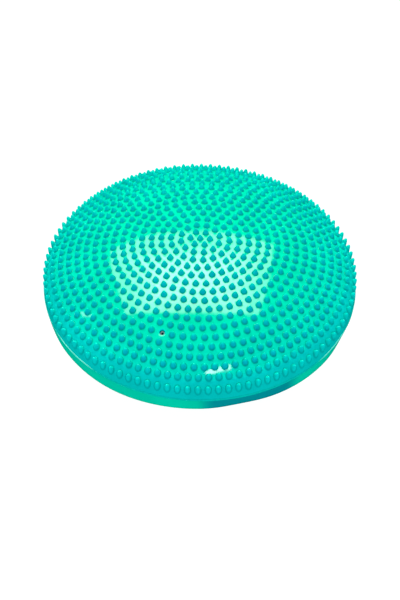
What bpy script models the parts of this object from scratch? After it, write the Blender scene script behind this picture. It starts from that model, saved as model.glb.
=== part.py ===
"""Balance pad: an inflated, domed balance disc made of two welded PVC skins.

Metres, +Z up. The pad rests on z = 0 with its axis on Z, and -Y is its front.
"""
import math

import bmesh
import bpy
from mathutils import Matrix, Vector

# --- Driving dimensions ---------------------------------------------------
RIM_R = 0.164            # outer radius of both skins where they meet
WALL = 0.0035            # thickness of the moulded skins
SEAM_Z = 0.0315          # height of the weld between the skins

CROWN_SQUARE = 0.0322    # fall of the dome at the rim radius, square term
CROWN_FOURTH = 0.0139    # and fourth-power term, which steepens it outwards
SHOULDER_R = 0.025       # round between the dome and the upright side

BAND_ABOVE = 0.0015      # straight stretch of the side above the seam
BAND_BELOW = 0.0075      # straight stretch of the side below the seam
LOWER_EDGE_R = 0.016     # round between the side and the underside
UNDERSIDE_SLOPE = math.radians(12)   # underside's slope where that round ends

GAP = 0.0003             # clearance between pieces that touch
BEAD_PROUD = 0.0006      # how far the weld bead stands out of the side
BEAD_HALF = 0.0009       # half of the bead's height

VALVE_R = 0.1173         # the valve's distance from the pad's axis
VALVE_TURN = math.radians(-18.2)     # its turn about Z, from the front (-Y)
SKIN_HOLE_R = 0.0028     # hole in the upper skin over the valve

HOUSING_FLANGE_R = 0.010
HOUSING_FLANGE_T = 0.002
HOUSING_BARREL_R = 0.006
HOUSING_LENGTH = 0.016   # flange and barrel together
HOUSING_NECK = 0.0016    # depth of the narrow mouth of its bore
HOUSING_MOUTH_R = 0.0028
HOUSING_BORE_R = 0.0038
HOUSING_END_T = 0.0015   # lip that keeps the core from falling inwards
HOUSING_END_HOLE_R = 0.0018

CORE_RECESS = 0.001      # the core's face lies this far below the skin
CORE_NECK_R = 0.00245
CORE_BODY_R = 0.0035
CORE_CHAMFER = 0.0004
NEEDLE_R = 0.0008        # channel for the inflating needle
NEEDLE_DEPTH = 0.013

ROUND_STEPS = 72         # facets around the pad
SMALL_STEPS = 32         # facets around the valve's pieces
DOME_STEPS = 9
SHOULDER_STEPS = 7
LOWER_EDGE_STEPS = 6
UNDERSIDE_STEPS = 4
BEAD_STEPS = 6

SKIN_COLOUR = (0.0, 0.60, 0.45, 1.0)
LOWER_COLOUR = (0.0, 0.52, 0.38, 1.0)
BEAD_COLOUR = (0.10, 0.72, 0.56, 1.0)
HOUSING_COLOUR = (0.05, 0.30, 0.27, 1.0)
CORE_COLOUR = (0.62, 0.55, 0.52, 1.0)


# --- The pad's outline ----------------------------------------------------
def dome_fall(r):
    """How far the dome has dropped below its crown at radius r."""
    q = r / RIM_R
    return CROWN_SQUARE * q ** 2 + CROWN_FOURTH * q ** 4


def dome_slope(r):
    """Angle of the dome below horizontal at radius r."""
    q = r / RIM_R
    return math.atan((2 * CROWN_SQUARE * q + 4 * CROWN_FOURTH * q ** 3) / RIM_R)


def shoulder_join():
    """The radius and slope where the dome runs smoothly into the shoulder's round."""
    low, high = 0.0, math.pi / 2
    for _ in range(60):
        slope = (low + high) / 2
        r = RIM_R - SHOULDER_R * (1 - math.sin(slope))
        if dome_slope(r) > slope:
            low = slope
        else:
            high = slope
    return r, slope


JOIN_R, JOIN_SLOPE = shoulder_join()
SHOULDER_Z = SEAM_Z + BAND_ABOVE
CROWN_Z = SHOULDER_Z + SHOULDER_R * math.cos(JOIN_SLOPE) + dome_fall(JOIN_R)


def upper_outline():
    """Outer side of the upper skin as (r, z), from the crown down to the seam."""
    points = []
    for i in range(DOME_STEPS):
        r = JOIN_R * i / DOME_STEPS
        points.append((r, CROWN_Z - dome_fall(r)))
    for i in range(SHOULDER_STEPS + 1):
        slope = JOIN_SLOPE + (math.pi / 2 - JOIN_SLOPE) * i / SHOULDER_STEPS
        r = RIM_R - SHOULDER_R * (1 - math.sin(slope))
        points.append((r, SHOULDER_Z + SHOULDER_R * math.cos(slope)))
    points.append((RIM_R, SEAM_Z + BEAD_HALF + GAP))
    return points


def lower_outline():
    """Outer side of the lower skin as (r, z), from the seam down to the foot's centre."""
    band_z = SEAM_Z - BAND_BELOW
    points = [(RIM_R, SEAM_Z - BEAD_HALF - GAP)]
    for i in range(LOWER_EDGE_STEPS + 1):
        turn = (math.pi / 2 - UNDERSIDE_SLOPE) * i / LOWER_EDGE_STEPS
        r = RIM_R - LOWER_EDGE_R * (1 - math.cos(turn))
        points.append((r, band_z - LOWER_EDGE_R * math.sin(turn)))
    edge_r, edge_z = points[-1]
    belly_r = edge_z / (1 - math.cos(UNDERSIDE_SLOPE))
    foot_r = edge_r - belly_r * math.sin(UNDERSIDE_SLOPE)
    for i in range(1, UNDERSIDE_STEPS + 1):
        slope = UNDERSIDE_SLOPE * (1 - i / UNDERSIDE_STEPS)
        points.append((foot_r + belly_r * math.sin(slope), belly_r * (1 - math.cos(slope))))
    points.append((0.0, 0.0))
    return points


# --- Modelling helpers ----------------------------------------------------
def clear_scene():
    for old in list(bpy.data.objects):
        bpy.data.objects.remove(old, do_unlink=True)


def new_collection(name):
    collection = bpy.data.collections.new(name)
    bpy.context.scene.collection.children.link(collection)
    return collection


def plastic(name, colour, roughness):
    """A Principled BSDF of the piece's colour and gloss."""
    material = bpy.data.materials.new(name)
    material.use_nodes = True
    shader = material.node_tree.nodes["Principled BSDF"]
    shader.inputs["Base Color"].default_value = colour
    shader.inputs["Roughness"].default_value = roughness
    shader.inputs["Metallic"].default_value = 0.0
    return material


def turned(name, outline, steps, collection, closed=False):
    """A surface turned about local Z from an (r, z) outline, with a Screw modifier."""
    mesh = bpy.data.meshes.new(name)
    build = bmesh.new()
    verts = [build.verts.new((r, 0.0, z)) for r, z in outline]
    for a, b in zip(verts, verts[1:]):
        build.edges.new((a, b))
    if closed:
        build.edges.new((verts[-1], verts[0]))
    build.to_mesh(mesh)
    build.free()
    piece = bpy.data.objects.new(name, mesh)
    collection.objects.link(piece)
    screw = piece.modifiers.new("turn", "SCREW")
    screw.axis = "Z"
    screw.angle = math.tau
    screw.steps = steps
    screw.render_steps = steps
    screw.use_merge_vertices = True
    screw.merge_threshold = 0.00001
    screw.use_smooth_shade = True
    return piece


def thicken(piece, thickness):
    """Give an open surface a wall that grows inwards."""
    shell = piece.modifiers.new("wall", "SOLIDIFY")
    shell.thickness = thickness
    shell.offset = -1.0
    shell.use_even_offset = True


def valve_frame():
    """Matrix at the valve's centre on the outer skin, its Z along the skin's normal."""
    z = CROWN_Z - dome_fall(VALVE_R)
    return (Matrix.Rotation(VALVE_TURN, 4, "Z")
            @ Matrix.Translation(Vector((0.0, -VALVE_R, z)))
            @ Matrix.Rotation(dome_slope(VALVE_R), 4, "X"))


# --- The pieces -----------------------------------------------------------
def make_upper_skin(parts, cutters):
    """The domed top moulding, with the small hole over the valve."""
    skin = turned("upper_skin", upper_outline(), ROUND_STEPS, parts)
    thicken(skin, WALL)
    skin.data.materials.append(plastic("upper_pvc", SKIN_COLOUR, 0.22))

    drill_mesh = bpy.data.meshes.new("valve_hole_drill")
    build = bmesh.new()
    bmesh.ops.create_cone(build, cap_ends=True, segments=SMALL_STEPS, radius1=SKIN_HOLE_R,
                          radius2=SKIN_HOLE_R, depth=6 * WALL)
    build.to_mesh(drill_mesh)
    build.free()
    drill = bpy.data.objects.new("valve_hole_drill", drill_mesh)
    cutters.objects.link(drill)
    drill.matrix_world = valve_frame()
    drill.display_type = "WIRE"
    drill.hide_render = True

    hole = skin.modifiers.new("valve_hole", "BOOLEAN")
    hole.operation = "DIFFERENCE"
    hole.solver = "EXACT"
    hole.object = drill
    return skin


def make_lower_skin(parts):
    """The side band and the shallow underside, with its flat foot."""
    skin = turned("lower_skin", lower_outline(), ROUND_STEPS, parts)
    thicken(skin, WALL)
    skin.data.materials.append(plastic("lower_pvc", LOWER_COLOUR, 0.25))
    return skin


def make_seam_bead(parts):
    """The ring of weld between the skins, proud of the side with a round face."""
    outline = [(RIM_R - WALL, SEAM_Z + BEAD_HALF)]
    for i in range(BEAD_STEPS + 1):
        turn = math.pi * i / BEAD_STEPS
        outline.append((RIM_R + BEAD_PROUD * math.sin(turn), SEAM_Z + BEAD_HALF * math.cos(turn)))
    outline.append((RIM_R - WALL, SEAM_Z - BEAD_HALF))
    bead = turned("seam_bead", outline, ROUND_STEPS, parts, closed=True)
    bead.data.materials.append(plastic("bead_pvc", BEAD_COLOUR, 0.3))
    return bead


def make_valve_housing(parts):
    """The flanged sleeve bonded under the upper skin, which grips the core."""
    top = -(WALL + 2 * GAP)
    bottom = top - HOUSING_LENGTH
    outline = [
        (HOUSING_MOUTH_R, top),
        (HOUSING_FLANGE_R, top),
        (HOUSING_FLANGE_R, top - HOUSING_FLANGE_T),
        (HOUSING_BARREL_R, top - HOUSING_FLANGE_T),
        (HOUSING_BARREL_R, bottom),
        (HOUSING_END_HOLE_R, bottom),
        (HOUSING_END_HOLE_R, bottom + HOUSING_END_T),
        (HOUSING_BORE_R, bottom + HOUSING_END_T),
        (HOUSING_BORE_R, top - HOUSING_NECK),
        (HOUSING_MOUTH_R, top - HOUSING_NECK),
    ]
    housing = turned("valve_housing", outline, SMALL_STEPS, parts, closed=True)
    housing.matrix_world = valve_frame()
    housing.data.materials.append(plastic("housing_pvc", HOUSING_COLOUR, 0.5))
    return housing


def make_valve_core(parts):
    """The self-sealing rubber plug, with a blind channel for the needle."""
    housing_top = -(WALL + 2 * GAP)
    face = -CORE_RECESS
    shoulder = housing_top - HOUSING_NECK - GAP
    end = housing_top - HOUSING_LENGTH + HOUSING_END_T + GAP
    outline = [
        (0.0, face - NEEDLE_DEPTH),
        (NEEDLE_R, face - NEEDLE_DEPTH),
        (NEEDLE_R, face - CORE_CHAMFER),
        (NEEDLE_R + CORE_CHAMFER, face),
        (CORE_NECK_R - CORE_CHAMFER, face),
        (CORE_NECK_R, face - CORE_CHAMFER),
        (CORE_NECK_R, shoulder),
        (CORE_BODY_R, shoulder),
        (CORE_BODY_R, end + CORE_CHAMFER),
        (CORE_BODY_R - CORE_CHAMFER, end),
        (0.0, end),
    ]
    core = turned("valve_core", outline, SMALL_STEPS, parts)
    core.matrix_world = valve_frame()
    core.data.materials.append(plastic("core_rubber", CORE_COLOUR, 0.6))
    return core


def main():
    clear_scene()
    parts = new_collection("balance_pad")
    cutters = new_collection("cutters")
    make_upper_skin(parts, cutters)
    make_lower_skin(parts)
    make_seam_bead(parts)
    make_valve_housing(parts)
    make_valve_core(parts)


main()
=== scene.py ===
"""The looks of the balance pad: nubbed PVC skins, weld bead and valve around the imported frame."""
import math

import bpy
import numpy as np
from mathutils import Matrix, Vector
from mathutils.geometry import delaunay_2d_cdt


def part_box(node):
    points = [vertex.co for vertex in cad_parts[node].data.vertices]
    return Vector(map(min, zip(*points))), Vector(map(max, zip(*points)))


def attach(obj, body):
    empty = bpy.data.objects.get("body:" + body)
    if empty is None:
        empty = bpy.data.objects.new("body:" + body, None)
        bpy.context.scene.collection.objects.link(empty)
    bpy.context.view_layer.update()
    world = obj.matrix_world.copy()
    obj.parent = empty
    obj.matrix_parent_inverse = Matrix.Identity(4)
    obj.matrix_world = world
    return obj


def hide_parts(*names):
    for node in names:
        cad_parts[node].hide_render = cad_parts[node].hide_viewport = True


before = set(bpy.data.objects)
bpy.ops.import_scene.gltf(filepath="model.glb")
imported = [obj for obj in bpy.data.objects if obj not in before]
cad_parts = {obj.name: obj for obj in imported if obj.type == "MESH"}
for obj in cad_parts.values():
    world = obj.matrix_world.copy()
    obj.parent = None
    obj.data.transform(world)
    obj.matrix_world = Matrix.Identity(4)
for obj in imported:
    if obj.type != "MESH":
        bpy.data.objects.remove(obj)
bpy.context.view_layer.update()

MM = 0.001
rng = np.random.default_rng(33)

# --- What the frame says ---------------------------------------------------
UPPER_LOW, UPPER_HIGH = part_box("upper_skin")
_, LOWER_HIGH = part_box("lower_skin")
BEAD_LOW, BEAD_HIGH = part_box("seam_bead")
RIM_R = UPPER_HIGH[0]
CROWN_Z = UPPER_HIGH[2]
SEAM_TOP = UPPER_LOW[2]
SEAM_BOTTOM = LOWER_HIGH[2]
SEAM_Z = (BEAD_LOW[2] + BEAD_HIGH[2]) / 2
BEAD_R = BEAD_HIGH[0]

# --- The outline's driving dimensions --------------------------------------
WALL = 3.5 * MM
CROWN_SQUARE = 32.2 * MM          # the dome's fall at the rim radius, square term
CROWN_FOURTH = 13.9 * MM          # and fourth-power term
SHOULDER_R = 25 * MM
BAND_ABOVE = 1.5 * MM
BAND_BELOW = 7.5 * MM
LOWER_EDGE_R = 16 * MM
UNDERSIDE_SLOPE = math.radians(12)
LIP_R = 0.12 * MM                 # round of each skin's edge beside the bead
ROUND = 216                       # facets around the pad
SIDE_BARE = 3.2 * MM              # the plain stretch of the upper skin just above the seam
UNDERSIDE_R = 135 * MM            # the studded underside ends here, and the lower side begins

# Stretches of the side, each given by its middle and half-width in degrees from the front.
# How far the soft lower side stands out there, or is drawn in, at its lower edge
SAGS = ((-33, 24, 1.8 * MM), (15, 9, -1.9 * MM), (40, 12, 0.6 * MM), (65, 7, -3.2 * MM),
        (-70, 7, -1.6 * MM))
SAG_DEPTH = 18 * MM               # below the seam, where the shift is full
SAG_START_R = 90 * MM             # the shift fades in from here
SAG_FADE = 50 * MM                # over this width
# SHADED is painted shade on the lower side, a darker stretch where it is drawn in
SHADED = (18.5, 16.0)             # the darker stretch of the lower side
# the bead's paler stretches are painted highlights, where light would glint on the weld
HIGHLIGHT_LEFT, HIGHLIGHT_RIGHT = (-51, 9), (56, 6)   # the weld bead's paler stretches
STRETCH_FADE = 4.0                # degrees either side of a stretch's end, where its colour fades

# The slow unevenness of the upper skin
UNEVEN_SEED, UNEVEN_WAVES = 5, 9
UNEVEN_HEIGHT = 0.25 * MM
UNEVEN_LENGTHS = (50 * MM, 120 * MM)
UNEVEN_FADE = 20 * MM             # inwards from the rim

# Distances between the skins' vertices, and clear of a nub's, stud's or hole's foot
UPPER_STEP, UPPER_CLEAR = 2.9 * MM, 1.0 * MM
UPPER_INNER_STEP, UPPER_INNER_CLEAR = 9 * MM, 3 * MM
LOWER_STEP, LOWER_CLEAR = 5 * MM, 2 * MM
LOWER_INNER_STEP = 12 * MM
UPPER_SIDE_STEPS, LOWER_SIDE_STEPS = 8, 30

# --- The nubs on top, the studs below, and the valve -----------------------
NUB_PITCH = 10.04 * MM            # between rings of nubs, along the skin
NUB_LEAN = 0.25                   # a nub leans by this share of the skin's slope
NUB_SIDES = 12
NUB_H = 6.5 * MM
NUB_STRAY = 0.04 * MM             # how far nubs stray from the lattice
NUB_TILT_STRAY, NUB_SIZE_STRAY = 0.008, 0.006
# radius, height, how far that ring of the nub follows the skin's slope, and flare along the skin
NUB_OUTLINE = ((3.0, 0.0, 1.0, 0.9), (3.0, 0.12, 1.0, 0.38), (2.94, 0.5, 0.97, 0.0),
               (2.7, 1.6, 0.8, 0.0), (2.33, 2.95, 0.5, 0.0), (1.92, 4.15, 0.2, 0.0),
               (1.5, 5.2, 0.05, 0.0), (0.8, 6.05, 0.0, 0.0))
# nubs in each ring from the middle, and the first one's turn from the front, in degrees
NUB_RINGS = ((6, 26.1), (12, 11.0), (18, 6.1), (24, 11.1), (30, 2.1), (36, 6.1), (43, 2.5),
             (48, 3.6), (54, 6.1), (58, 5.4), (64, 1.7), (69, 2.65), (76, 0.9), (84, 0.4),
             (90, 2.1), (96, 3.6), (101, 3.3))
LAST_RING_DROP = 2.6 * MM         # the last ring stands this much further down the shoulder

STUD_PITCH = 15 * MM
STUD_RINGS = 8
STUD_SIDES = 14
STUD_H = 1.2 * MM
STUD_OUTLINE = ((3.0, 0.0, 1.0, 0.4), (3.0, 0.12, 1.0, 0.0), (2.75, 0.6, 1.0, 0.0),
                (2.3, 0.98, 1.0, 0.0), (1.3, 1.15, 1.0, 0.0))

VALVE_R = 117.3 * MM
VALVE_TURN = math.radians(-18.2)  # from the front (-Y), towards +X
VALVE_SIDES = 36
VALVE_RIM = ((5.2, 0.0, 1.0, 0.0), (4.7, -0.02, 1.0, 0.0), (4.1, -0.07, 1.0, 0.0),
             (3.5, -0.18, 1.0, 0.0), (3.0, -0.4, 1.0, 0.0), (2.7, -0.75, 1.0, 0.0),
             (2.55, -1.25, 1.0, 0.0), (2.55, -3.5, 1.0, 0.0))
CORE_RECESS = 2.3 * MM            # of the plug's face below the skin
CHANNEL_OFF = 0.6 * MM            # the needle channel's mouth is off the middle by this
CHANNEL_TURN = math.radians(22)   # and this way

# --- The weld bead's waviness -------------------------------------------------
BEAD_WAVES = (3, 7, 13, 29, 47)   # round the pad
BEAD_WANDER_OUT, BEAD_WANDER_UP = 0.12 * MM, 0.08 * MM
BEAD_CLEAR = 0.02 * MM            # between the bead's unmoved form and each skin
BEAD_LAG = 31                     # facets from the wander outwards to the one upwards


# --- Outlines turned about Z, measured by their length s from the axis ------
class Turned:
    """An outline of (r, z) points turned about Z. up is 1 if its outer side looks up, -1 if down."""

    def __init__(self, points, up):
        self.r, self.z = np.array(points, float).T
        self.s = np.concatenate([[0.0], np.cumsum(np.hypot(np.diff(self.r), np.diff(self.z)))])
        self.length = self.s[-1]
        along_r, along_z = np.gradient(self.r, self.s), np.gradient(self.z, self.s)
        size = np.hypot(along_r, along_z)
        self.tr, self.tz = along_r / size, along_z / size
        self.up = up

    def at(self, values, s):
        return np.interp(s, self.s, values)

    def normal(self, s, turn):
        """Outward normals as (..., 3)."""
        nr, nz = -self.at(self.tz, s) * self.up, self.at(self.tr, s) * self.up
        return np.stack([nr * np.sin(turn), -nr * np.cos(turn), nz + 0 * turn], axis=-1)

    def place(self, s, turn, inset=0.0):
        """Points on the surface, or inset below it, as (..., 3). turn is from -Y towards +X."""
        r, z = self.at(self.r, s), self.at(self.z, s)
        spots = np.stack([r * np.sin(turn), -r * np.cos(turn), z + 0 * turn], axis=-1)
        return spots - self.normal(s, turn) * inset

    def drop(self, points, axes, s):
        """Slides points along axes onto the surface. s guesses where they land.

        Gives the points, and the s and turn of each.
        """
        points, s = points.copy(), np.array(s, float)
        for _ in range(14):
            turn = np.arctan2(points[..., 0], -points[..., 1])
            off = points - self.place(s, turn)
            normal = self.normal(s, turn)
            points -= axes * (np.sum(off * normal, axis=-1) / np.sum(normal * axes, axis=-1))[..., None]
            along = (off[..., 0] * np.sin(turn) - off[..., 1] * np.cos(turn)) * self.at(self.tr, s)
            s = np.clip(s + along + off[..., 2] * self.at(self.tz, s), 0.0, self.length)
        return points, s, np.arctan2(points[..., 0], -points[..., 1])


def dome_fall(r):
    q = r / RIM_R
    return CROWN_SQUARE * q ** 2 + CROWN_FOURTH * q ** 4


def dome_slope(r):
    q = r / RIM_R
    return math.atan((2 * CROWN_SQUARE * q + 4 * CROWN_FOURTH * q ** 3) / RIM_R)


def upper_outline():
    """The dome, its shoulder and the upright side down to the seam."""
    low, high = 0.0, math.pi / 2
    for _ in range(60):
        join = (low + high) / 2
        join_r = RIM_R - SHOULDER_R * (1 - math.sin(join))
        low, high = (join, high) if dome_slope(join_r) > join else (low, join)
    points = [(r, CROWN_Z - dome_fall(r)) for r in np.linspace(0, join_r, 400)]
    for slope in np.linspace(join, math.pi / 2, 160)[1:]:
        points.append((RIM_R - SHOULDER_R * (1 - math.sin(slope)),
                       SEAM_Z + BAND_ABOVE + SHOULDER_R * math.cos(slope)))
    points.append((RIM_R, SEAM_TOP))
    return Turned(points, up=1)


def lower_outline():
    """The flat foot, the shallow underside, its edge and the side up to the seam.

    The foot is raised by the height of the studs, which stand on the floor instead.
    """
    band_z = SEAM_Z - BAND_BELOW
    edge_r = RIM_R - LOWER_EDGE_R * (1 - math.sin(UNDERSIDE_SLOPE))
    edge_z = band_z - LOWER_EDGE_R * math.cos(UNDERSIDE_SLOPE)
    belly_r = edge_z / (1 - math.cos(UNDERSIDE_SLOPE))
    foot_r = edge_r - belly_r * math.sin(UNDERSIDE_SLOPE)
    points = [(r, 0.0) for r in np.linspace(0, foot_r, 60)]
    points += [(foot_r + belly_r * math.sin(a), belly_r * (1 - math.cos(a)))
               for a in np.linspace(0, UNDERSIDE_SLOPE, 60)[1:]]
    points = [(r, z + STUD_H * (1 - z / edge_z)) for r, z in points]
    points += [(RIM_R - LOWER_EDGE_R * (1 - math.sin(a)), band_z - LOWER_EDGE_R * math.cos(a))
               for a in np.linspace(UNDERSIDE_SLOPE, math.pi / 2, 120)[1:]]
    points.append((RIM_R, SEAM_BOTTOM))
    return Turned(points, up=-1)


# --- Meshes ------------------------------------------------------------------
class MeshParts:
    """Collects vertices, their height on a nub, the normals that are known, and faces."""

    def __init__(self):
        self.points, self.lift, self.normals, self.count = [], [], [], 0
        self.faces, self.kinds, self.kind = [], [], 0

    def face(self, rows):
        self.faces.extend(rows)
        self.kinds.extend([self.kind] * len(rows))

    def add(self, points, lift=0.0, normals=np.nan):
        shape = np.shape(points)[:-1]
        size = int(np.prod(shape))
        self.points.append(np.reshape(points, (size, 3)))
        self.lift.append(np.full(size, lift))
        self.normals.append(np.broadcast_to(normals, (*shape, 3)).reshape(size, 3))
        self.count += size
        return np.arange(self.count - size, self.count).reshape(shape)

    def bridge(self, ring_a, ring_b, flip=False):
        """Quads between closed rings of equally many vertices. The last axis runs around."""
        quads = np.stack([ring_a, np.roll(ring_a, -1, -1), np.roll(ring_b, -1, -1), ring_b], -1)
        quads = quads.reshape(-1, 4)
        self.face((quads[:, ::-1] if flip else quads).tolist())

    def fan(self, rings, tips, flip=False):
        tips = np.broadcast_to(np.asarray(tips)[..., None], np.shape(rings))
        tris = np.stack([rings, np.roll(rings, -1, -1), tips], -1).reshape(-1, 3)
        self.face((tris[:, ::-1] if flip else tris).tolist())

    def make(self, name, materials, wave=None):
        points, normals = np.concatenate(self.points), np.concatenate(self.normals)
        if wave is not None:
            points, normals = wave(points, normals)
        mesh = bpy.data.meshes.new(name)
        mesh.from_pydata(points.tolist(), [], self.faces)
        mesh.shade_smooth()
        own = np.empty(len(points) * 3, np.float32)
        mesh.vertex_normals.foreach_get("vector", own)
        normals = np.where(np.isnan(normals), own.reshape(-1, 3), normals)
        mesh.normals_split_custom_set_from_vertices(normals.tolist())
        for key, values in (("lift", np.concatenate(self.lift)), ("upward", normals[:, 2]),
                            ("outward", np.hypot(points[:, 0], points[:, 1]) / RIM_R)):
            mesh.attributes.new(key, "FLOAT", "POINT").data.foreach_set(
                "value", np.ascontiguousarray(values, np.float32))
        for material in materials:
            mesh.materials.append(material)
        mesh.polygons.foreach_set("material_index", self.kinds)
        piece = bpy.data.objects.new(name, mesh)
        bpy.context.scene.collection.objects.link(piece)
        return piece


def rings_on(parts, surface, s, turn, outline, sides, lean, wobble=0.0, spread=0.0):
    """Rings of a nub, stud or rim at each (s, turn), from the foot up, in millimetres.

    Gives each nub's centre, axis and size, the rings' vertices, and where on the skin
    the foot's and the last ring's vertices lie.
    """
    centre, normal = surface.place(s, turn), surface.normal(s, turn)
    tilt = np.arctan2(np.hypot(normal[:, 0], normal[:, 1]), np.abs(normal[:, 2])) * lean
    axis = np.stack([np.sin(tilt) * np.sin(turn), -np.sin(tilt) * np.cos(turn),
                     np.cos(tilt) * surface.up], axis=-1)
    axis += rng.normal(0.0, wobble, axis.shape)
    axis /= np.linalg.norm(axis, axis=1)[:, None]
    side = np.cross(np.stack([np.sin(turn), -np.cos(turn), 0 * turn], axis=-1), axis)
    side /= np.linalg.norm(side, axis=1)[:, None]
    across = np.cross(axis, side)
    around = np.arange(sides) * math.tau / sides
    reach = (side[:, None] * np.cos(around)[:, None] + across[:, None] * np.sin(around)[:, None])
    size = MM * (1 + rng.normal(0.0, spread, (len(s), 1, 1)))
    axes = np.broadcast_to(axis[:, None], reach.shape)
    guess = np.broadcast_to(s[:, None], reach.shape[:2])
    top = max(height for _, height, _, _ in outline) or 1.0     # the valve's rim only goes down
    middle = np.stack([s * np.sin(turn), -s * np.cos(turn)], -1)[:, None]
    rings, landed = [], []
    for k, (radius, height, follow, flare) in enumerate(outline):
        spots = centre[:, None] + reach * radius * size
        on_skin, s_on, turn_on = surface.drop(spots, axes, guess)
        if flare:
            flat = np.stack([s_on * np.sin(turn_on), -s_on * np.cos(turn_on)], -1)
            way = flat - middle
            flat += way / np.linalg.norm(way, axis=-1)[..., None] * flare * size
            s_on, turn_on = np.hypot(*flat.T).T, np.arctan2(flat[..., 0], -flat[..., 1])
            spots = surface.place(s_on, turn_on) + axes * height * size
        else:
            rise = np.sum((on_skin - spots) * axes, -1) * follow + height * size[..., 0]
            spots = spots + axes * rise[..., None]
        known = surface.normal(s_on, turn_on) if k == 0 else np.nan
        rings.append(parts.add(spots, max(height, 0) / top, known))
        landed.append((s_on, turn_on))
    return centre, axis, size[:, 0], rings, landed


def nubs_on(parts, surface, s, turn, outline, height, sides, lean, wobble, spread):
    """Closed nubs or studs. Gives their foot rings and where these lie on the skin."""
    centre, axis, size, rings, landed = rings_on(
        parts, surface, s, turn, outline, sides, lean, wobble, spread)
    tips = parts.add(centre + axis * size * (height / MM), 1.0, axis)
    for lower, upper in zip(rings, rings[1:]):
        parts.bridge(lower, upper)
    parts.fan(rings[-1], tips)
    return rings[0], *landed[0]


def fill(parts, surface, loops, edge_s, inset, spacing, clear):
    """Triangulates the skin out to edge_s, round loops of (vertices, s, turn). Gives its edge ring."""
    def flat(s, turn):
        return np.stack([s * np.sin(turn), -s * np.cos(turn)], axis=-1) / MM

    rings = int(edge_s / spacing)
    spots = []
    for i in range(rings):
        around = max(1, round(math.tau * i * edge_s / rings / spacing))
        for j in range(around):
            spots.append((edge_s * i / rings, math.tau * (j / around + 0.37 * i)))
    spot_s, spot_turn = np.array(spots).T
    loop_flat = [flat(s, turn) for _, s, turn in loops]
    keep = np.ones(len(spots), bool)
    here = flat(spot_s, spot_turn)
    for loop in loop_flat:
        centre = loop.mean(axis=0)
        keep &= np.hypot(*(here - centre).T) > np.hypot(*(loop - centre).T).max() + clear / MM
    spot_s, spot_turn = spot_s[keep], spot_turn[keep]
    edge_turn = np.arange(ROUND) * math.tau / ROUND
    edge = np.full(ROUND, edge_s)

    side = 1 if inset == 0 else -1
    spot_ids = parts.add(surface.place(spot_s, spot_turn, inset), 0.0,
                         surface.normal(spot_s, spot_turn) * side)
    edge_ids = parts.add(surface.place(edge, edge_turn, inset), 0.0,
                         surface.normal(edge, edge_turn) * side)
    coords = np.concatenate([*loop_flat, here[keep], flat(edge, edge_turn)])
    ids = np.concatenate([*(ring for ring, _, _ in loops), spot_ids, edge_ids])
    owner = np.concatenate([*(np.full(len(f), k) for k, f in enumerate(loop_flat)),
                            np.full(len(spot_ids) + ROUND, -1)]).astype(int)
    edges, start = [], 0
    for f in loop_flat:
        edges += [(start + j, start + (j + 1) % len(f)) for j in range(len(f))]
        start += len(f)
    start += len(spot_ids)
    edges += [(start + j, start + (j + 1) % ROUND) for j in range(ROUND)]
    made = delaunay_2d_cdt([Vector(c) for c in coords], edges, [], 0, 1e-6, True)
    source = [old[0] for old in made[3]]
    for face in made[2]:
        row = [source[v] for v in face]
        if owner[row[0]] >= 0 and owner[row[0]] == owner[row[1]] == owner[row[2]]:
            continue
        a, b, c = coords[row]
        left = (b - a)[0] * (c - a)[1] > (b - a)[1] * (c - a)[0]
        row = [int(ids[v]) for v in row]
        parts.face([row if left == (surface.up * side > 0) else row[::-1]])
    return edge_ids


def side_of(parts, surface, outer_edge, inner_edge, edge_s, steps):
    """The plain stretch of a skin from edge_s to the seam, its lip, and the wall's inner side."""
    lip_s = surface.length - LIP_R
    turn = np.arange(ROUND) * math.tau / ROUND
    last = outer_edge
    stops = np.linspace(edge_s, lip_s, steps + 1)[1:]
    for s in stops:
        here = np.full(ROUND, s)
        ring = parts.add(surface.place(here, turn), 0.0, surface.normal(here, turn))
        parts.bridge(last, ring, surface.up > 0)
        last = ring
    seam_z = surface.z[-1]
    lip = [(RIM_R - LIP_R * (1 - math.cos(a)), seam_z + surface.up * LIP_R * (1 - math.sin(a)))
           for a in np.radians((30, 60, 90))]
    lip.append((RIM_R - WALL, seam_z))
    for r, z in lip:
        ring = parts.add(np.stack([r * np.sin(turn), -r * np.cos(turn), np.full(ROUND, z)], -1))
        parts.bridge(last, ring, surface.up > 0)
        last = ring
    for s in stops[-3::-2]:
        here = np.full(ROUND, s)
        ring = parts.add(surface.place(here, turn, WALL), 0.0, -surface.normal(here, turn))
        parts.bridge(last, ring, surface.up > 0)
        last = ring
    parts.bridge(last, inner_edge, surface.up > 0)


def lathe(name, outline, steps, material, matrix=Matrix(), closed=False, ripple=None, lift=None):
    """A solid turned about local Z from (r, z) points given anticlockwise seen with r to the right.

    lift gives the stored lift of some points, by their place in the outline.
    """
    parts = MeshParts()
    turn = np.arange(steps) * math.tau / steps
    rings, poles = [], []
    for k, (r, z) in enumerate(outline):
        dr, dz = ripple(turn, k) if ripple else (0.0, 0.0)
        if r == 0:
            poles.append(parts.add(np.array([[0.0, 0.0, z]]), (lift or {}).get(k, 0.0))[0])
            continue
        rr, zz = r + dr, z + dz
        spots = np.stack([rr * np.sin(turn), -rr * np.cos(turn), zz + 0 * turn], -1)
        rings.append(parts.add(spots, (lift or {}).get(k, 0.0)))
    for a, b in zip(rings, rings[1:] + rings[:1] if closed else rings[1:]):
        parts.bridge(a, b)
    if not closed:
        parts.fan(rings[0], poles[0], True)
        parts.fan(rings[-1], poles[1])
    piece = parts.make(name, [material])
    piece.data.transform(matrix)
    return piece


# --- Slow unevenness and sag of an inflated skin ------------------------------
def smooth(value):
    """0 up to 0 and 1 from 1, with a soft step between."""
    value = np.clip(value, 0, 1)
    return value ** 2 * (3 - 2 * value)


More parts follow.
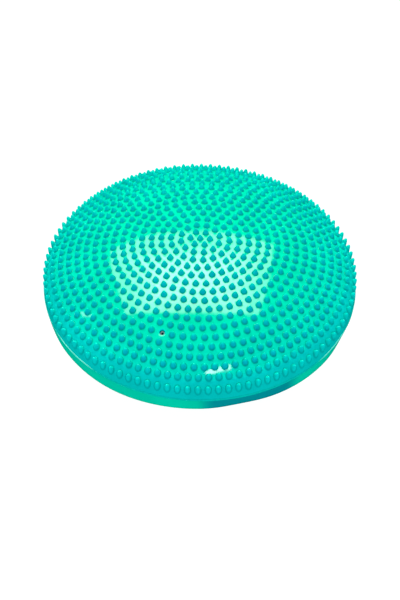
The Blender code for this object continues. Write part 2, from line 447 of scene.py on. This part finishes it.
def uneven(seed, height, wavelengths, count):
    """A gentle sum of waves over (x, y), as a shift of z that fades at the rim."""
    pick = np.random.default_rng(seed)
    length = pick.uniform(*wavelengths, count)
    way = pick.uniform(0, math.tau, count)
    k = math.tau / length[:, None] * np.stack([np.cos(way), np.sin(way)], -1)
    phase = pick.uniform(0, math.tau, count)
    size = height * length / length.sum()

    def wave(points, normals):
        fade = smooth((RIM_R - np.hypot(points[:, 0], points[:, 1])) / UNEVEN_FADE)
        arg = points[:, :2] @ k.T + phase
        points = points.copy()
        points[:, 2] += fade * (np.cos(arg) @ size)
        slope = -(np.sin(arg) * size) @ k * fade[:, None]
        tilt = np.concatenate([-slope, np.zeros((len(points), 1))], axis=1)
        bent = normals + tilt * np.abs(normals[:, 2:])
        return points, bent / np.linalg.norm(bent, axis=1)[:, None]

    return wave


def sagging(points, normals):
    """Moves the lower skin's side outwards and inwards by SAGS, and turns its normals to suit."""
    turn, radius = np.arctan2(points[:, 0], -points[:, 1]), np.hypot(points[:, 0], points[:, 1])
    away = np.stack([np.sin(turn), -np.cos(turn), 0 * turn], -1)
    along = np.stack([np.cos(turn), np.sin(turn), 0 * turn], -1)

    def share(z):
        return smooth((SEAM_Z - z) / SAG_DEPTH) * smooth((radius - SAG_START_R) / SAG_FADE)

    shift, change = 0 * turn, 0 * turn
    for middle, width, reach in SAGS:
        off = (turn - math.radians(middle)) / math.radians(width)
        bump = reach * np.exp(-off ** 2)
        shift += bump
        change -= bump * 2 * off / math.radians(width)
    step = 0.1 * MM
    down = (share(points[:, 2] + step) - share(points[:, 2] - step)) / (2 * step) * shift
    around = change * share(points[:, 2]) / np.maximum(radius, 1 * MM)
    facing = np.sum(normals * away, axis=1)
    bent = normals - along * (around * facing)[:, None]
    bent[:, 2] -= down * facing
    return (points + away * (shift * share(points[:, 2]))[:, None],
            bent / np.linalg.norm(bent, axis=1)[:, None])


# --- Materials ----------------------------------------------------------------
class Nodes:
    """Short spellings for building one material's nodes."""

    def __init__(self, name):
        self.material = bpy.data.materials.new(name)
        self.material.use_nodes = True
        self.tree = self.material.node_tree
        self.shader = self.tree.nodes["Principled BSDF"]

    def add(self, kind, **settings):
        node = self.tree.nodes.new("ShaderNode" + kind)
        for key, value in settings.items():
            setattr(node, key, value)
        return node

    def link(self, source, target):
        self.tree.links.new(source, target)

    def place(self):
        return self.add("TexCoord").outputs["Object"]

    def noise(self, size, detail=3.0, rough=0.5):
        node = self.add("TexNoise")
        node.inputs["Scale"].default_value = 1 / size
        node.inputs["Detail"].default_value = detail
        node.inputs["Roughness"].default_value = rough
        self.link(self.place(), node.inputs["Vector"])
        return node.outputs["Fac"]

    def stored(self, name):
        return self.add("Attribute", attribute_name=name).outputs["Fac"]

    def near(self, middle, width):
        """1 inside a stretch round Z, given in degrees from the front, fading to 0 at its ends."""
        flat, unit = (self.add("VectorMath", operation=o) for o in ("MULTIPLY", "NORMALIZE"))
        flat.inputs[1].default_value = (1.0, 1.0, 0.0)
        self.link(self.place(), flat.inputs[0])
        self.link(flat.outputs["Vector"], unit.inputs[0])
        dot = self.add("VectorMath", operation="DOT_PRODUCT")
        middle = math.radians(middle)
        dot.inputs[1].default_value = (math.sin(middle), -math.cos(middle), 0.0)
        self.link(unit.outputs["Vector"], dot.inputs[0])
        ends = (math.cos(math.radians(width + way)) for way in (STRETCH_FADE, -STRETCH_FADE))
        return self.span(dot.outputs["Value"], *ends)

    def span(self, value, low, high, to_low=0.0, to_high=1.0):
        """Maps low..high to to_low..to_high in a soft step, and holds the ends beyond it."""
        node = self.add("MapRange", interpolation_type="SMOOTHSTEP")
        ends = {"From Min": low, "From Max": high, "To Min": to_low, "To Max": to_high}
        for key, number in ends.items():
            node.inputs[key].default_value = number
        self.link(value, node.inputs["Value"])
        return node.outputs["Result"]

    def math(self, operation, a, b):
        node = self.add("Math", operation=operation)
        self.link(a, node.inputs[0])
        self.link(b, node.inputs[1])
        return node.outputs["Value"]

    def mix(self, factor, a, b, blend="MIX"):
        node = self.add("Mix", data_type="RGBA", blend_type=blend)
        for key, value in (("Factor_Float", factor), ("A_Color", a), ("B_Color", b)):
            socket = next(i for i in node.inputs if i.identifier == key)
            if isinstance(value, tuple):
                socket.default_value = (*value, 1.0)
            elif isinstance(value, (int, float)):
                socket.default_value = value
            else:
                self.link(value, socket)
        return next(o for o in node.outputs if o.identifier == "Result_Color")

    def grey(self, value):
        node = self.add("CombineColor")
        for socket in node.inputs:
            self.link(value, socket)
        return node.outputs["Color"]

    def bump(self, height, depth, strength=1.0, before=None):
        node = self.add("Bump")
        node.inputs["Distance"].default_value = depth
        node.inputs["Strength"].default_value = strength
        self.link(height, node.inputs["Height"])
        if before is not None:
            self.link(before, node.inputs["Normal"])
        return node.outputs["Normal"]


# Colours where the PVC faces up (top) and where it is steep (side), and near the rim. They are
# painted light: the tops take the key's warm light, the steep sides a cooler shade, and the rim
# its own light.
UPPER_TOP, DOME_SIDE, RIM_SIDE = (0.0, 0.63, 0.37), (0.0, 0.61, 0.60), (0.0, 0.57, 0.50)
# NUB_TIP is a painted highlight, the lit colour of a nub's tip
NUB_SIDE, NUB_TIP = (0.0, 0.53, 0.61), (0.02, 0.72, 0.64)
NUB_RIM_SIDE, NUB_RIM_TOP = (0.0, 0.64, 0.56), (0.02, 0.62, 0.50)
# LOWER_SHADED is the colour of that painted shade
LOWER_TOP, LOWER_SIDE, LOWER_SHADED = (0.0, 0.62, 0.38), (0.0, 0.63, 0.38), (0.0, 0.28, 0.30)
# the bead's second colour is a painted highlight
BEAD_PLAIN, BEAD_HIGHLIGHT_COLOUR = (0.0, 0.60, 0.46), (0.26, 0.95, 0.72)
# the channel's colour is painted shade, the near black deep in the needle's channel
CORE_COLOUR, CHANNEL_SHADE_COLOUR = (0.46, 0.37, 0.38), (0.01, 0.02, 0.02)
HOUSING_COLOUR = (0.03, 0.22, 0.20)
# Shares of the rim radius between which the rim's painted colours and the darker stretch's
# painted shade come in
RIM_STARTS, RIM_FULL = 0.88, 0.98
SIDE_STARTS, SIDE_FULL = 0.93, 0.96


def pvc(name, rough, gloss, top, side, rim, steep=0.3, foot=1.0, rim_top=None, shaded=None):
    """Soft PVC, bluer on steep sides than where it faces up: painted light, standing in for a warm key
    from above and cooler light from the sides.

    steep is the upward part of a normal at which the side's colour is full, and foot is the
    brightness the painted shade leaves at a nub's foot. rim and rim_top are the colours of side
    and top near the rim, painted light as well, and shaded is the painted shade's colour on the
    stretch of lower side at SHADED.
    """
    n = Nodes(name)
    # painted light: colours by nearness to the rim and by facing stand in for how the light falls
    outer = n.span(n.stored("outward"), RIM_STARTS, RIM_FULL)
    colour = n.mix(outer, side, rim)
    if rim_top:
        top = n.mix(outer, top, rim_top)
    colour = n.mix(n.span(n.stored("upward"), steep, 1.0), colour, top)
    # painted light: a nub turns lighter and greener towards its tip, where the key lights it
    colour = n.mix(n.span(n.stored("lift"), 0.48, 0.98, 0.0, 0.34), colour, NUB_TIP)
    # painted shade: the darker stretch of the lower side at SHADED
    if shaded:
        on_side = n.span(n.stored("outward"), SIDE_STARTS, SIDE_FULL)
        there = n.math("MULTIPLY", n.near(*SHADED), on_side)
        colour = n.mix(there, colour, shaded)
    # painted shade: darker towards a nub's foot, as in the crease round it
    foot_shade = n.span(n.stored("lift"), 0.0, 0.45, foot, 1.0)
    colour = n.mix(1.0, colour, n.grey(foot_shade), "MULTIPLY")
    blotch = n.span(n.noise(38 * MM, 4.0, 0.55), 0.3, 0.7, 0.95, 1.05)
    colour = n.mix(1.0, colour, n.grey(blotch), "MULTIPLY")
    n.link(colour, n.shader.inputs["Base Color"])
    n.link(n.span(n.noise(6 * MM, 5.0, 0.6), 0.3, 0.7, rough * 0.9, rough * 1.15),
           n.shader.inputs["Roughness"])
    fine = n.bump(n.noise(0.7 * MM, 3.0, 0.6), 0.01 * MM, 0.3)
    n.link(n.bump(n.noise(11 * MM, 2.0, 0.5), 0.05 * MM, 0.4, fine), n.shader.inputs["Normal"])
    n.shader.inputs["Specular IOR Level"].default_value = gloss
    return n.material


def rubber(name, colour, rough):
    """Dull rubber, a little dusty, and nearly black where its lift is 1, which paints the shade deep in
    the needle's channel.
    """
    n = Nodes(name)
    dust = n.span(n.noise(0.6 * MM, 4.0, 0.6), 0.35, 0.7)
    plain = n.mix(dust, tuple(c * 0.8 for c in colour), colour)
    n.link(n.mix(n.stored("lift"), plain, CHANNEL_SHADE_COLOUR), n.shader.inputs["Base Color"])
    n.link(n.span(dust, 0.0, 1.0, rough - 0.08, rough + 0.1), n.shader.inputs["Roughness"])
    n.link(n.bump(n.noise(0.3 * MM, 3.0), 0.03 * MM, 0.6), n.shader.inputs["Normal"])
    return n.material


# --- The pieces ----------------------------------------------------------------
def valve_frame():
    """At the valve's centre on the outer skin, Z along the skin's normal."""
    return (Matrix.Rotation(VALVE_TURN, 4, "Z")
            @ Matrix.Translation(Vector((0.0, -VALVE_R, CROWN_Z - dome_fall(VALVE_R))))
            @ Matrix.Rotation(dome_slope(VALVE_R), 4, "X"))


def make_upper_skin():
    """The nubbed top moulding, with the valve's dimple and hole. No nub stands on the valve."""
    surface = upper_outline()
    valve_s = float(np.interp(VALVE_R, surface.r, surface.s))
    s, turn = [0.0], [0.0]
    for ring, (count, first) in enumerate(NUB_RINGS, start=1):
        ring_s = ring * NUB_PITCH + (LAST_RING_DROP if ring == len(NUB_RINGS) else 0.0)
        for k in range(count):
            at = math.radians(first) + math.tau * k / count
            near = math.hypot(ring_s - valve_s,
                              VALVE_R * ((at - VALVE_TURN + math.pi) % math.tau - math.pi))
            if near > NUB_PITCH / 2:
                s.append(ring_s)
                turn.append(at)
    parts = MeshParts()
    s, turn = np.array(s), np.array(turn)
    s[1:] += rng.normal(0.0, NUB_STRAY, len(s) - 1)
    turn[1:] += rng.normal(0.0, NUB_STRAY, len(s) - 1) / s[1:]
    parts.kind = 1
    feet, foot_s, foot_turn = nubs_on(parts, surface, s, turn, NUB_OUTLINE, NUB_H, NUB_SIDES,
                                      NUB_LEAN, NUB_TILT_STRAY, NUB_SIZE_STRAY)
    parts.kind = 0
    _, _, _, rim, landed = rings_on(parts, surface, np.array([valve_s]), np.array([VALVE_TURN]),
                                    VALVE_RIM, VALVE_SIDES, 1.0)
    for a, b in zip(rim, rim[1:]):
        parts.bridge(a, b)
    hole = (rim[-1][0], landed[-1][0][0], landed[-1][1][0])
    loops = list(zip(feet, foot_s, foot_turn)) + [(rim[0][0], landed[0][0][0], landed[0][1][0])]
    edge_s = surface.length - SIDE_BARE
    outer = fill(parts, surface, loops, edge_s, 0.0, UPPER_STEP, UPPER_CLEAR)
    inner = fill(parts, surface, [hole], edge_s, WALL, UPPER_INNER_STEP, UPPER_INNER_CLEAR)
    side_of(parts, surface, outer, inner, edge_s, UPPER_SIDE_STEPS)
    materials = [pvc("upper_pvc", 0.07, 0.5, UPPER_TOP, DOME_SIDE, RIM_SIDE, steep=0.66),
                 pvc("upper_pvc_nubs", 0.3, 0.15, UPPER_TOP, NUB_SIDE, NUB_RIM_SIDE, steep=0.15,
                     foot=0.66, rim_top=NUB_RIM_TOP)]
    wave = uneven(UNEVEN_SEED, UNEVEN_HEIGHT, UNEVEN_LENGTHS, UNEVEN_WAVES)
    return parts.make("upper_skin_nubbed", materials, wave)


def make_lower_skin():
    """The sagging lower side and the underside with its low studs."""
    surface = lower_outline()
    s, turn = [0.0], [0.0]
    for ring in range(1, STUD_RINGS + 1):
        count = 6 * ring
        for k in range(count):
            s.append(ring * STUD_PITCH)
            turn.append(math.tau * (k / count + 0.13 * ring))
    parts = MeshParts()
    feet, foot_s, foot_turn = nubs_on(parts, surface, np.array(s), np.array(turn), STUD_OUTLINE,
                                      STUD_H, STUD_SIDES, 1.0, 0.0, 0.0)
    edge_s = float(np.interp(UNDERSIDE_R, surface.r, surface.s))
    loops = list(zip(feet, foot_s, foot_turn))
    outer = fill(parts, surface, loops, edge_s, 0.0, LOWER_STEP, LOWER_CLEAR)
    inner = fill(parts, surface, [], edge_s, WALL, LOWER_INNER_STEP, LOWER_CLEAR)
    side_of(parts, surface, outer, inner, edge_s, LOWER_SIDE_STEPS)
    material = pvc("lower_pvc", 0.2, 0.3, LOWER_TOP, LOWER_SIDE, LOWER_SIDE, shaded=LOWER_SHADED)
    return parts.make("lower_skin_shell", [material], sagging)


def make_bead():
    """The weld bead: a round-faced ring that wanders a little, with painted highlights as paler
    stretches on two sides.
    """
    proud, half = BEAD_R - RIM_R, SEAM_TOP - SEAM_Z - BEAD_CLEAR
    outline = [(RIM_R - WALL, SEAM_Z - half)]
    outline += [(RIM_R + proud * math.cos(a), SEAM_Z + half * math.sin(a))
                for a in np.radians(np.linspace(-90, 90, 9))]
    outline.append((RIM_R - WALL, SEAM_Z + half))
    phase = rng.uniform(0, math.tau, len(BEAD_WAVES))

    def ripple(turn, k):
        """Moves the round face out and in, and, a little further round, up and down."""
        if k in (0, len(outline) - 1):
            return 0.0, 0.0
        wander = sum(np.cos(f * turn + p) for f, p in zip(BEAD_WAVES, phase)) / len(BEAD_WAVES)
        return BEAD_WANDER_OUT * wander, BEAD_WANDER_UP * np.roll(wander, BEAD_LAG)

    n = Nodes("bead_pvc")
    blotch = n.noise(5 * MM, 3.0)
    # painted highlights: paler on the two stretches where light glints on the bead
    pale = n.math("MAXIMUM", n.near(*HIGHLIGHT_LEFT), n.near(*HIGHLIGHT_RIGHT))
    colour = n.mix(pale, BEAD_PLAIN, BEAD_HIGHLIGHT_COLOUR)
    grain = n.grey(n.span(blotch, 0.3, 0.7, 0.9, 1.0))
    n.link(n.mix(1.0, colour, grain, "MULTIPLY"), n.shader.inputs["Base Color"])
    n.link(n.span(blotch, 0.3, 0.7, 0.22, 0.38), n.shader.inputs["Roughness"])
    n.link(n.bump(n.noise(1.5 * MM, 3.0), 0.08 * MM), n.shader.inputs["Normal"])
    n.shader.inputs["Specular IOR Level"].default_value = 0.4
    return lathe("weld_bead", outline, 2 * ROUND, n.material, closed=True, ripple=ripple)


def make_core():
    """The valve's rubber plug: its round edge, its face and the needle's channel, in millimetres."""
    face = -CORE_RECESS / MM
    outline = [(0, -18.4), (3.1, -18.4), (3.4, -18.2), (3.5, -17.9), (3.5, -6.2), (3.4, -6.02),
               (2.45, -6.0), (2.45, face - 1.6), (2.2, face - 1.3), (1.95, face - 0.35),
               (1.8, face), (1.4, face - 0.05), (1.15, face - 0.3), (1.05, face - 0.9),
               (1.0, -14.0), (0, -14.0)]
    outline = [(r * MM, z * MM) for r, z in outline]
    material = rubber("core_rubber", CORE_COLOUR, 0.6)
    # the channel's points, by their place in the outline
    off_middle = {11: 0.6, 12: 1.0, 13: 1.0, 14: 1.0}
    # painted shade: the channel's inner points are marked to turn nearly black, as the deep hole lies
    # in shade
    shade_in_channel = {12: 0.5, 13: 1.0, 14: 1.0, 15: 1.0}

    def ripple(turn, k):
        """Sets the channel off the middle, towards the front."""
        return CHANNEL_OFF * off_middle.get(k, 0.0) * np.cos(turn - CHANNEL_TURN), 0.0

    return lathe("valve_plug", outline, 40, material, valve_frame(), ripple=ripple, lift=shade_in_channel)


def settle(piece, node):
    """Puts a piece in a CAD node's place on the one body."""
    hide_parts(node)
    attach(piece, "root")


# --- Floor, light and camera -----------------------------------------------------
FLOOR_R, FLOOR_SIDES = 14.0, 64
FLOOR_GLOW = 1.15
WARM, PALE, COOL = (1.0, 1.0, 0.78), (1.0, 0.97, 0.93), (0.22, 0.9, 1.5)
AIR, BACKDROP = (0.22, 0.97, 1.13, 1.0), (1.0, 1.0, 1.0, 1.0)
AIR_LOW, AIR_HIGH = 0.1, 0.6      # the air's strength below and above the horizon
HORIZON = 0.1                     # half the height of the band where it changes
PAD = Vector((0.0, -0.13, 0.06))  # what most lights are aimed at
KEY_AT = Vector((-0.10, 0.72, 1.36))
KEY_TILT = math.radians(23.5)
KEY_WAY = Vector((0, -math.sin(KEY_TILT), -math.cos(KEY_TILT)))
KEY_SIZE = (1.5, 1.1)
CAMERA_LENS, CAMERA_SENSOR = 85.24, 36.0
CAMERA_UP, CAMERA_ROLL = math.radians(46.61), math.radians(0.62)
CAMERA_AWAY = 1.525
CAMERA_AIM = Vector((0.0004, 0.0, 0.001))


def make_floor():
    """A round pale floor, mostly lit by its own soft glow, and wholly so away from the pad."""
    mesh = bpy.data.meshes.new("floor")
    angles = [math.tau * k / FLOOR_SIDES for k in range(FLOOR_SIDES)]
    ring = [(FLOOR_R * math.cos(a), FLOOR_R * math.sin(a), 0.0) for a in angles]
    mesh.from_pydata(ring, [], [list(range(FLOOR_SIDES))])
    floor = bpy.data.objects.new("floor", mesh)
    floor.location.z = -0.2 * MM
    floor.visible_glossy = False
    bpy.context.scene.collection.objects.link(floor)
    n = Nodes("floor_paper")
    n.shader.inputs["Base Color"].default_value = (0.9, 0.9, 0.9, 1.0)
    n.shader.inputs["Roughness"].default_value = 0.9
    n.shader.inputs["Specular IOR Level"].default_value = 0.1
    glow = n.add("Emission")
    glow.inputs["Strength"].default_value = FLOOR_GLOW
    away = n.add("VectorMath", operation="LENGTH")
    n.link(n.place(), away.inputs[0])
    share = n.span(away.outputs["Value"], 0.3, 1.6, 0.86, 1.0)
    blend = n.add("MixShader")
    n.link(share, blend.inputs[0])
    n.link(n.shader.outputs[0], blend.inputs[1])
    n.link(glow.outputs[0], blend.inputs[2])
    n.link(blend.outputs[0], n.tree.nodes["Material Output"].inputs["Surface"])
    mesh.materials.append(n.material)


def make_light(name, location, aim, width, depth, radiance, colour=(1, 1, 1), seen="both"):
    """A rectangular soft box. seen is both, or shade or gloss for one that gives only that."""
    light = bpy.data.lights.new(name, "AREA")
    light.shape = "RECTANGLE"
    light.size, light.size_y = width, depth
    light.energy = radiance * math.pi * width * depth
    light.color = colour
    lamp = bpy.data.objects.new(name, light)
    lamp.location = location
    lamp.rotation_euler = (Vector(aim) - Vector(location)).to_track_quat("-Z", "Y").to_euler()
    lamp.visible_diffuse, lamp.visible_glossy = seen != "gloss", seen != "shade"
    bpy.context.scene.collection.objects.link(lamp)


def make_world():
    """Cool air, bright above the horizon and dim below it, and plain white as a backdrop."""
    world = bpy.data.worlds.new("studio")
    bpy.context.scene.world = world
    world.use_nodes = True
    tree = world.node_tree
    back = tree.nodes["Background"]
    place = tree.nodes.new("ShaderNodeTexCoord")
    split = tree.nodes.new("ShaderNodeSeparateXYZ")
    tree.links.new(place.outputs["Generated"], split.inputs[0])
    ramp = tree.nodes.new("ShaderNodeMapRange")
    ramp.interpolation_type = "SMOOTHSTEP"
    ends = {"From Min": -HORIZON, "From Max": HORIZON, "To Min": AIR_LOW, "To Max": AIR_HIGH}
    for key, number in ends.items():
        ramp.inputs[key].default_value = number
    tree.links.new(split.outputs["Z"], ramp.inputs["Value"])
    tree.links.new(ramp.outputs["Result"], back.inputs["Strength"])
    back.inputs["Color"].default_value = AIR
    white = tree.nodes.new("ShaderNodeBackground")
    path = tree.nodes.new("ShaderNodeLightPath")
    either = tree.nodes.new("ShaderNodeMixShader")
    tree.links.new(path.outputs["Is Camera Ray"], either.inputs[0])
    tree.links.new(back.outputs[0], either.inputs[1])
    tree.links.new(white.outputs[0], either.inputs[2])
    tree.links.new(either.outputs[0], tree.nodes["World Output"].inputs["Surface"])
    white.inputs["Color"].default_value = BACKDROP


def make_camera():
    """From the front and above, aimed at the middle of the foot."""
    data = bpy.data.cameras.new("camera")
    data.sensor_width = CAMERA_SENSOR
    data.lens = CAMERA_LENS
    camera = bpy.data.objects.new("camera", data)
    bpy.context.scene.collection.objects.link(camera)
    back = Vector((0.0, -math.cos(CAMERA_UP), math.sin(CAMERA_UP)))
    camera.location = CAMERA_AIM + back * CAMERA_AWAY
    level = (-back).to_track_quat("-Z", "Y").to_matrix().to_4x4()
    camera.rotation_euler = (level @ Matrix.Rotation(CAMERA_ROLL, 4, "Z")).to_euler()
    bpy.context.scene.camera = camera


def make_lights():
    """A big key behind, whose gleam brightens to its middle, two strips and a cool front fill."""
    wide, deep = KEY_SIZE
    make_light("key", Vector((-0.1, 0.42, 1.42)), PAD, wide, deep, 4.85, WARM, "shade")
    make_light("key_shine", KEY_AT, KEY_AT + KEY_WAY, wide, deep, 4.6, PALE, "gloss")
    for share, drop in ((0.74, 0.02), (0.56, 0.04), (0.38, 0.06)):
        middle = KEY_AT + Vector((0.02, -0.12, -drop))
        make_light("key_middle", middle, middle + KEY_WAY, wide * share, deep * share, 2.1, PALE,
                   "gloss")
    make_light("front_strip", PAD + Vector((0.155, -0.37, 0.92)) * 1.35, PAD, 0.29, 0.06, 14.0)
    make_light("front_fill", PAD + Vector((0.0, -1.2, 0.8)), PAD, 0.8, 0.5, 1.6, COOL, "shade")
    make_light("side_strip", PAD + Vector((-0.745, 0.27, 0.61)) * 1.5, PAD, 0.04, 0.22, 6.0)


make_camera()
make_world()
make_floor()
make_lights()

settle(make_upper_skin(), "upper_skin")
settle(make_lower_skin(), "lower_skin")
settle(make_bead(), "seam_bead")
settle(make_core(), "valve_core")

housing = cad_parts["valve_housing"]
housing.data.materials.clear()
housing.data.materials.append(rubber("housing_pvc", HOUSING_COLOUR, 0.5))

# A touch less red, so that the deepest greens have none
grade = bpy.context.scene.view_settings
grade.view_transform = "Standard"
grade.use_curve_mapping = True
grade.curve_mapping.black_level = (0.02, 0.0, 0.0)
grade.curve_mapping.update()
